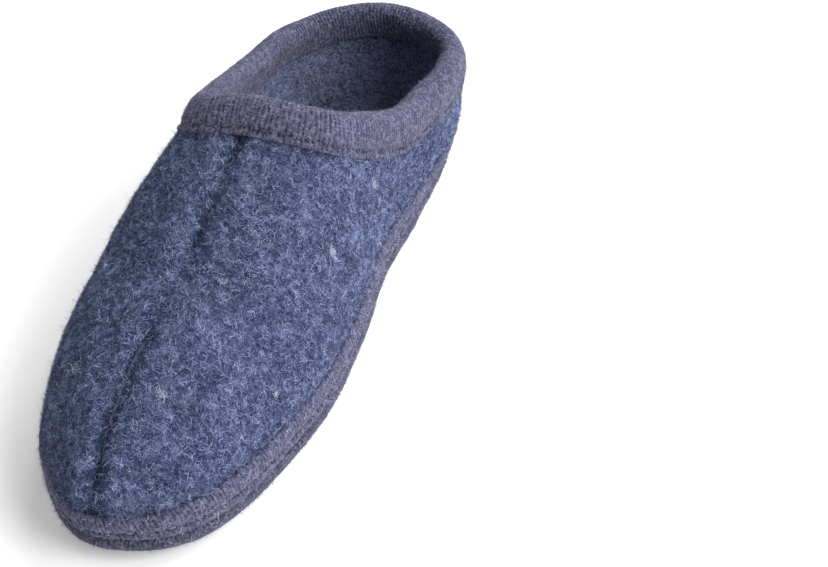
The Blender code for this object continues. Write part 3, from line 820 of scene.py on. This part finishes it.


# ---- The pieces ----

# Colours of each cloth: a felt's gaps, dark, body, light and fibres; a knit's dark, body and light. The
# felt's gaps colour is also its painted seam shade, and the knit's dark its painted shade between the ribs.
FELT = [
    (0.0025, 0.0050, 0.0240), (0.0095, 0.0155, 0.062), (0.036, 0.052, 0.146), (0.094, 0.121, 0.260),
    (0.215, 0.265, 0.460),
]
# The felt's inner face and footbed: the same wool as outside, painted lighter, as painted light falling into
# the opening.
LINING_PAINTED_LIGHTER = [
    (0.014, 0.017, 0.044), (0.044, 0.050, 0.112), (0.168, 0.188, 0.350), (0.310, 0.345, 0.560),
    (0.46, 0.50, 0.74),
]
KNIT = [(0.015, 0.013, 0.032), (0.078, 0.077, 0.148), (0.262, 0.265, 0.420)]
SOLE = [(0.018, 0.017, 0.036), (0.064, 0.061, 0.110), (0.170, 0.166, 0.270)]

felt_blue = felt_material("boiled wool, denim blue", *FELT)
# The same boiled wool painted lighter for the inside: painted light.
felt_inside_painted_lighter = felt_material("boiled wool, inside, painted lighter", *LINING_PAINTED_LIGHTER)
knit_violet = knit_material("rib knit, slate violet", *KNIT)
sole_violet = knit_material("pressed felt, slate violet", *SOLE)
nap_blue = fibre_material("wool nap, denim blue", (0.009, 0.016, 0.070), (0.405, 0.490, 0.805))
curl_pale = fibre_material("loose wool, pale blue", (0.120, 0.155, 0.310), (0.530, 0.610, 0.840), 0.3)
pill_pale = fibre_material("felted ball, pale blue", (0.340, 0.380, 0.520), (0.780, 0.820, 0.920), 0.3)
nap_violet = fibre_material("knit nap, slate violet", (0.040, 0.038, 0.085), (0.560, 0.570, 0.760))
# The inner nap, painted lighter like the felt's inside: painted light.
nap_inside_painted_lighter = fibre_material("wool nap, inside, painted lighter", (0.090, 0.100, 0.200), (0.480, 0.520, 0.760))
thread_violet = fibre_material("sewing thread, grey violet", (0.150, 0.145, 0.220), (0.300, 0.295, 0.400))

rng = np.random.default_rng(SEED)
shift = offset_to_frame()


def make_upper():
    """The felt: the outer and inner faces, joined at the collar and at the sole edge."""
    points, quads, outer_grids, inner_grids, shadows, linings = [], [], [], [], [], []
    total = 0
    for side in (1, -1):
        outer, inner, shadow = upper_surfaces(side, shift)
        shadows += [shadow, 0 * shadow]
        linings += [0 * shadow, 0 * shadow + 1]
        columns, rows = outer.shape[:2]
        first, second = total, total + columns * rows
        total += 2 * columns * rows
        points += [outer, inner]
        quads += [grid_quads(first, columns, rows), grid_quads(second, columns, rows)]
        j = np.arange(columns - 1) * rows
        low = np.stack([first + j, first + j + rows, second + j + rows, second + j], -1)
        quads += [low, (low + rows - 1)[RIDGE_COLUMNS:]]
        outer_grids.append((outer, normals_of(outer, side)))
        inner_grids.append((inner, -normals_of(inner, side)))
    obj = quad_object("upper_felt", points, np.concatenate(quads), 2e-6, shadow=shadows, lining=linings)
    dress(obj, felt_blue, "felt", "upper")
    # The inner faces take the felt painted lighter: painted light inside the opening.
    obj.data.materials.append(felt_inside_painted_lighter)
    inside = np.zeros(len(obj.data.vertices), dtype=np.float32)
    obj.data.attributes["lining"].data.foreach_get("value", inside)
    for face in obj.data.polygons:
        face.material_index = int(all(inside[v] > 0.5 for v in face.vertices))
    return outer_grids, inner_grids


def resampled(profile, per_mm):
    """The profile's points on a smooth curve, closely and evenly spaced."""
    profile = np.array(profile)
    run = run_along(profile)
    at = np.linspace(0, run[-1], int(run[-1] * 1000 * per_mm))
    return np.stack([smooth(run, line, at) for line in profile.T], -1)


def rib(ribs_passed):
    """From 0 between two ribs to 1 on the crest of one."""
    return np.sqrt(np.abs(np.cos(math.pi * ribs_passed)))


def knit_ring(name, node, shown, lining, crest, down):
    """A closed knit strip: its shown face, the hidden one behind it, and what its material reads."""
    whole = np.concatenate([shown, lining], 1)
    hidden = np.zeros(lining.shape[:2])
    obj = quad_object(name, whole, grid_quads(0, *whole.shape[:2], True, True),
                      crest=np.concatenate([crest, hidden], 1),
                      down=np.tile(np.concatenate([down, hidden[0]]), len(whole)))
    dress(obj, knit_violet, "knit", node)


def make_collar():
    """The rib-knit band folded over the collar, with its sewn-down lower edge."""
    chains, runs = [], []
    outside = resampled(BINDING_OUTSIDE, 0.95)
    profile = np.concatenate([outside, BINDING_LINING])
    for side in (1, -1):
        length = run_along(felt(*collar_edge(side, 400), side))[-1]
        stations = int(round(length / RIB_PITCH)) * SAMPLES_PER_RIB + 1
        chains.append(binding_half(side, stations, profile))
        runs.append(np.arange(stations) / SAMPLES_PER_RIB)
    chain = np.concatenate([chains[0], chains[1][-2:0:-1]]) + shift
    ribs = np.concatenate([runs[0], runs[0][-1] + runs[1][1:-1]])[:, None]
    rows = len(outside)
    chain, lining = chain[:, :rows], chain[:, rows:]
    depth = outside[:, 0]
    normal = ring_normals(chain, chain.mean(axis=1, keepdims=True))
    crest = rib(ribs + 0.18 * field(chain, 0.012, 5))
    is_outer = np.arange(rows) < rows * BINDING_OUTER_SHARE
    sewn = BINDING_OUTER - BINDING_STITCH_UP
    fade = 1 - 0.75 * is_outer * bell(depth - sewn, 0.0007)
    ends = np.clip(np.minimum(np.arange(rows), np.arange(rows)[::-1]) / 3.0, 0, 1)
    relief = (crest - RIB_LEVEL) * RIB_DEPTH * fade * ends
    relief = relief + lumps(chain, (0.00032, 0.019, 6), (0.00018, 0.0045, 7)) * ends
    lip = bell(depth - (BINDING_OUTER - 0.0008), 0.0012) * is_outer
    relief = relief + lip * 0.00016 * np.sin(ribs * math.pi * 1.31 + field(chain, 0.01, 8) * 2)
    chain = chain + normal * relief[..., None]
    # The material reads crest * fade: painted shade in the rib valleys, and darker along the sewn-down row.
    knit_ring("collar_knit", "collar_binding", chain, lining, crest * fade, run_along(outside))
    return joined(chain), joined(normal)


def even_turns(side):
    """Turns that divide one side of the outline into equal steps, a whole number of ribs."""
    fine = np.linspace(0, math.pi, 3000)
    run = run_along(np.stack(outline(fine, side), -1))
    count = int(round(run[-1] / RIB_PITCH)) * SAMPLES_PER_RIB
    return np.interp(np.linspace(0, run[-1], count + 1), run, fine)


def edge_ring(turns, side, profile):
    """The rand's points for many stations on one side; profile is (height over the edge, distance out)."""
    ups, outs = np.array(profile).T
    rises = rise_at_height(turns, np.tile(ups, (len(turns), 1)), side)
    nx, ny = outline_normal(turns, side)
    away = np.stack([nx, ny, 0 * nx], -1)
    return felt(turns[:, None], rises, side) + away[:, None] * outs[:, None]


def closed_ring(make, *sizes):
    """Both sides of the sole edge as one loop, with the number of ribs passed at each station."""
    halves = {side: make(even_turns(side), side, *sizes) for side in (1, -1)}
    loop = np.concatenate([halves[1], halves[-1][-2:0:-1]]) + shift
    return loop, np.arange(len(loop)) / SAMPLES_PER_RIB


def make_rand():
    """The knit strip round the sole edge, sewn down along its middle. Returns its grid, and the line that
    the thread follows."""
    profile = resampled([(up * RAND_HEIGHT, out) for up, out in RAND_PROFILE], 1.15)
    back = [(up * RAND_HEIGHT, CLEARANCE) for up in (1, 0.5, 0)]
    loop, ribs = closed_ring(edge_ring, profile)
    lining, _ = closed_ring(edge_ring, back)
    normal = ring_normals(loop, loop.mean((0, 1)))
    up = profile[:, 0] / RAND_HEIGHT
    unsewn = 1 - 0.8 * bell(up - RAND_STITCH_ROW, 0.045)
    lower_tier = np.where(up < RAND_STITCH_ROW, 0.37, 0.0)
    crest = rib(ribs[:, None] + 0.20 * field(loop, 0.010, 9) + lower_tier)
    relief = (crest - RIB_LEVEL) * RIB_DEPTH * unsewn * np.where(up > 0.95, 0.4, 1.0)
    relief = relief + lumps(loop, (0.00030, 0.012, 10), (0.00016, 0.004, 11))
    loop = loop + normal * relief[..., None]
    # The material reads crest * unsewn: painted shade in the rib valleys, and darker along the sewn-down row.
    knit_ring("rand_knit", "sole_rand", loop, lining, crest * unsewn, profile[:, 0])
    middle = int(np.argmin(np.abs(up - RAND_STITCH_ROW)))
    return (joined(loop), joined(normal)), (loop[:, middle], normal[:, middle])


def make_sole():
    """The felt sole, with a knitted look round its edge."""
    steps = np.linspace(0, 1, 10)
    tucks = smooth(*np.array(SOLE_PROFILE).T, steps)
    loop, ribs = closed_ring(sole_side, steps, tucks)
    normal = ring_normals(loop, loop.mean((0, 1)))
    crest = rib(ribs[:, None] + 0.5 * field(loop, 0.006, 12))
    relief = (crest - 0.6) * 0.00020 + lumps(loop, (0.00022, 0.007, 13), (0.00012, 0.0025, 14))
    relief[:, [0, -1]] = 0
    loop = loop + normal * relief[..., None]
    loop[:, :, 2] = np.maximum(loop[:, :, 2], 0.0)
    count, levels = loop.shape[:2]
    faces = grid_quads(0, count, levels, True, False).tolist()
    right = len(even_turns(1))
    one = np.arange(right)
    other = np.concatenate([[0], np.arange(count - 1, right - 2, -1)])
    for level in (0, levels - 1):
        faces += bridged(one * levels + level, other * levels + level)
    down = np.tile(steps * SOLE_THICKNESS, count)
    # The material reads crest: painted shade in the valleys between the edge's ribs.
    dress(quad_object("sole_felt", loop, faces, crest=crest, down=down), sole_violet, "sole_felt", "outsole")
    return joined(loop), joined(normal)


def bridged(one, other):
    """Triangles between two chains that start and end at the same points."""
    i = j = 0
    faces = []
    while i < len(one) - 1 or j < len(other) - 1:
        if (i + 1) * len(other) <= (j + 1) * len(one) and i < len(one) - 1 or j == len(other) - 1:
            face, i = (one[i], one[i + 1], other[j]), i + 1
        else:
            face, j = (one[i], other[j + 1], other[j]), j + 1
        if len(set(face)) == 3:
            faces.append(face)
    return faces


def make_insole():
    """The felt footbed, dished, with a soft unevenness."""
    turns = np.linspace(0, math.pi, 121)
    shares = np.linspace(0, 1, 33)
    sheets = []
    for one, other in zip(insole_edge(turns, 1), insole_edge(turns, -1)):
        sheets.append(one[:, None] * (1 - shares)[:, None] + other[:, None] * shares[:, None])
    inward = np.minimum(shares, 1 - shares) * np.linalg.norm(one - other, axis=1)[:, None]
    sheets[1][..., 2] -= INSOLE_CUP * np.minimum(inward / 0.014, 1.0) ** 0.8
    bottom, top = np.array(sheets) + shift
    inside = np.sin(math.pi * shares) * np.sin(turns)[:, None]
    top[..., 2] += lumps(top, (0.00035, 0.022, 15), (0.00015, 0.005, 16)) * np.clip(inside * 3, 0, 1)
    n, m = top.shape[:2]
    quads = [grid_quads(0, n, m), grid_quads(n * m, n, m)]
    j = np.arange(n - 1) * m
    for i in (0, m - 1):
        quads.append(np.stack([j + i, j + m + i, n * m + j + m + i, n * m + j + i], -1))
    obj = quad_object("insole_felt", [top, bottom], np.concatenate(quads), 1e-6)
    # The footbed takes the felt painted lighter: painted light inside the opening.
    dress(obj, felt_inside_painted_lighter, "felt", "insole")
    normal = normals_of(top)
    return top, normal * np.sign(normal[..., 2].sum())


def make_stitches(line, normals):
    """The row of thread that sews the rand down."""
    ring, ring_outward = joined(line), joined(normals)
    run = run_along(ring)
    around, along = THREAD_AROUND, THREAD_ALONG
    angle = np.linspace(0, 2 * math.pi, around, endpoint=False)[:, None]
    swell = np.sin(math.pi * (0.12 + 0.76 * np.linspace(0, 1, along)))[:, None]
    points, quads, shades = [], [], []
    for k in range(int(run[-1] / THREAD_PITCH)):
        at = np.linspace((k + 0.14) * THREAD_PITCH, (k + 0.86) * THREAD_PITCH, along)
        spine, out = (np.stack([np.interp(at, run, values[:, c]) for c in range(3)], -1)
                      for values in (ring, ring_outward))
        out = unit(out)
        side = np.cross(unit(np.gradient(spine, axis=0)), out)
        spine = spine + out * (0.00012 + 0.00034 * swell)
        spine[:, 2] += rng.normal(0, 0.00012)
        radius = (THREAD_RADIUS * (0.55 + 0.45 * swell))[:, None]
        tube = spine[:, None] + side[:, None] * (np.cos(angle) * radius)
        points.append(tube + out[:, None] * (np.sin(angle) * radius))
        quads.append(grid_quads(k * around * along, along, around, False, True))
        shades.append(np.full(around * along, rng.random()))
    obj = quad_object("rand_stitches", points, np.concatenate(quads), shade=shades)
    dress(obj, thread_violet, "knit")


outer_grids, inner_grids = make_upper()
collar_grid = make_collar()
rand_grid, thread_line = make_rand()
sole_grid = make_sole()
insole_grid = make_insole()
make_stitches(*thread_line)

top_row = rand_grid[0][:, rand_grid[0].mean(0)[:, 2].argmax()]
rand_edge = top_row[top_row[:, 1].argsort()][:, 1:].T
ridge = outer_grids[0][0][:RIDGE_COLUMNS, -1]
ridge_line = np.array([ridge[:, 0], ridge[:, 1], seam_pull(upper_half(1)[2][:RIDGE_COLUMNS, -1])])


def nap(name, grids, count, finish, slot, weight, *shape):
    roots, normals = scatter(grids, count, rng, weight)
    dress(fibres(name, roots, normals, rng, *shape), finish, slot)


# Each of the next three says how thickly the fibres grow at places on the felt.


def open_felt(centres):
    """Fibres thin out under the rand and in the drawn-in seam."""
    off = np.abs(centres[:, 0] - np.interp(centres[:, 1], ridge_line[1], ridge_line[0]))
    pull = np.interp(centres[:, 1], ridge_line[1], ridge_line[2])
    bare = 1 - 0.85 * np.clip(pull, 0, 1) * bell(off, 0.0021)
    return np.clip((centres[:, 2] - 0.0125) / 0.003, 0.02, 1.0) * bare


def over_the_rand(centres):
    """Felt fibres that hang over the rand's upper edge, most of them round the toe and its inner side."""
    edge = np.interp(centres[:, 1], *rand_edge)
    height = bell(centres[:, 2] - edge - 0.0008, 0.0018)
    toe = np.clip((-0.04 - centres[:, 1]) / 0.05, 0, 1) * np.clip(1.0 - centres[:, 0] / 0.035, 0.4, 1.6)
    return height * (0.25 + toe)


def clumped(centres):
    """Fibres gather in small locks."""
    locks = 0.5 + lumps(centres, (1.3, 0.0026, 21), (0.3, 0.009, 22))
    return open_felt(centres) * np.clip(locks, 0.05, 1.6)


def make_pills():
    """Small pale tangles of wool lying on the felt."""
    roots, ways = [], []
    for side, along, share, count in PILLS:
        turn = turn_of(np.array([along]))
        rise = np.array([share * math.pi / 2])
        place, normal = felt(turn, rise, side)[0] + shift, felt_normal(turn, rise, side)[0]
        spread = rng.normal(0, PILL_RADIUS, (count, 3))
        spread -= normal * (spread @ normal)[:, None]
        roots.append(place + spread + normal * 0.0003)
        ways.append(np.tile(normal, (count, 1)))
    made = fibres("felt_pills", np.concatenate(roots), np.concatenate(ways), rng,
                  (0.0015, 0.0040), (0.0002, 0.0014), 5.0, (0.00007, 0.00013), 7, 0.4)
    dress(made, pill_pale, "felt")


# Each row's numbers are the count, then least and most length, lift, curl, least and most width, segments
# and the share that stands free.
for number in (1, 2, 3):
    nap("felt_nap_%d" % number, outer_grids, 33500, nap_blue, "felt", clumped,
        (0.0010, 0.0030), (0.0001, 0.0010), 2.0, (0.00011, 0.00021), 2, 0.5)
nap("felt_curls", outer_grids, 9000, curl_pale, "felt", open_felt,
    (0.0014, 0.0042), (0.0002, 0.0016), 3.8, (0.00008, 0.00014), 5, 0.6)
nap("felt_wisps", outer_grids, 5000, nap_blue, "felt", open_felt,
    (0.0024, 0.0060), (0.0010, 0.0036), 2.2, (0.00008, 0.00013), 4, 0.9)
nap("edge_nap", outer_grids, 8000, nap_blue, "felt", over_the_rand,
    (0.0018, 0.0048), (0.0004, 0.0022), 2.0, (0.00009, 0.00015), 3, 0.7)
# The inner nap is painted lighter: painted light inside the opening.
nap("inner_nap", inner_grids + [insole_grid], 8500, nap_inside_painted_lighter, "felt", None,
    (0.0012, 0.0034), (0.0001, 0.0007), 2.2, (0.00010, 0.00018), 2, 0.4)
nap("collar_nap", [collar_grid], 12000, nap_violet, "knit", None,
    (0.0008, 0.0028), (0.0001, 0.0012), 1.8, (0.00007, 0.00012), 2, 0.6)
nap("rand_nap", [rand_grid, sole_grid], 15000, nap_violet, "knit", None,
    (0.0010, 0.0032), (0.0001, 0.0014), 1.8, (0.00008, 0.00014), 2, 0.6)
make_pills()


# ---- Floor, light and camera ----

SUN_SOFTNESS = 38.0  # degrees across
FLOOR_HALF = 4.0
FLOOR_GLOW = 0.27  # the photograph's floor is white right up to the shoe's shadow


def make_stage():
    mesh = bpy.data.meshes.new("floor")
    corners = [(x * FLOOR_HALF, y * FLOOR_HALF, 0) for x, y in ((-1, -1), (1, -1), (1, 1), (-1, 1))]
    mesh.from_pydata(corners, [], [(0, 1, 2, 3)])
    floor = placed("floor", mesh)
    finish = bpy.data.materials.new("pale floor")
    finish.use_nodes = True
    shader = finish.node_tree.nodes["Principled BSDF"]
    look = {"Base Color": (0.93, 0.93, 0.93, 1), "Roughness": 0.9, "Specular IOR Level": 0.1,
            "Emission Color": (1, 1, 1, 1), "Emission Strength": FLOOR_GLOW}
    for name, value in look.items():
        shader.inputs[name].default_value = value
    mesh.materials.append(finish)


def sun_light(name, towards, strength):
    data = bpy.data.lights.new(name, "SUN")
    data.energy, data.angle = strength, math.radians(SUN_SOFTNESS)
    placed(name, data).matrix_world = Vector(towards).to_track_quat("Z", "Y").to_matrix().to_4x4()


def make_light():
    world = bpy.data.worlds.new("studio")
    world.use_nodes = True
    background = world.node_tree.nodes["Background"]
    background.inputs["Color"].default_value = (1.0, 0.992, 0.975, 1.0)
    background.inputs["Strength"].default_value = 0.30
    bpy.context.scene.world = world
    sun_light("side", (0.807, -0.140, 0.574), 2.67)
    sun_light("corner", (0.504, 0.646, 0.574), 1.70)
    sun_light("back", (0.078, 0.816, 0.574), 1.41)


def make_camera():
    """The photograph's viewpoint, worked out from the shoe's outline."""
    azimuth, elevation, roll = (math.radians(angle) for angle in (21.13, 38.80, -2.45))
    target, distance = Vector((0.0590, 0.0105, 0.0190)), 0.85755
    level = math.cos(elevation)
    back = Vector((math.sin(azimuth) * level, -math.cos(azimuth) * level, math.sin(elevation)))
    right = Vector((math.cos(azimuth), math.sin(azimuth), 0))
    up = back.cross(right)
    turned_right = right * math.cos(roll) + up * math.sin(roll)
    turned_up = up * math.cos(roll) - right * math.sin(roll)
    axes = Matrix((turned_right, turned_up, back))
    data = bpy.data.cameras.new("camera")
    data.sensor_fit, data.sensor_width, data.lens, data.clip_end = "HORIZONTAL", 36.0, 104.24, 20.0
    camera = placed("camera", data)
    camera.matrix_world = Matrix.Translation(target + back * distance) @ axes.transposed().to_4x4()
    bpy.context.scene.camera = camera


make_stage()
make_light()
make_camera()
bpy.context.scene.view_settings.view_transform = "Standard"
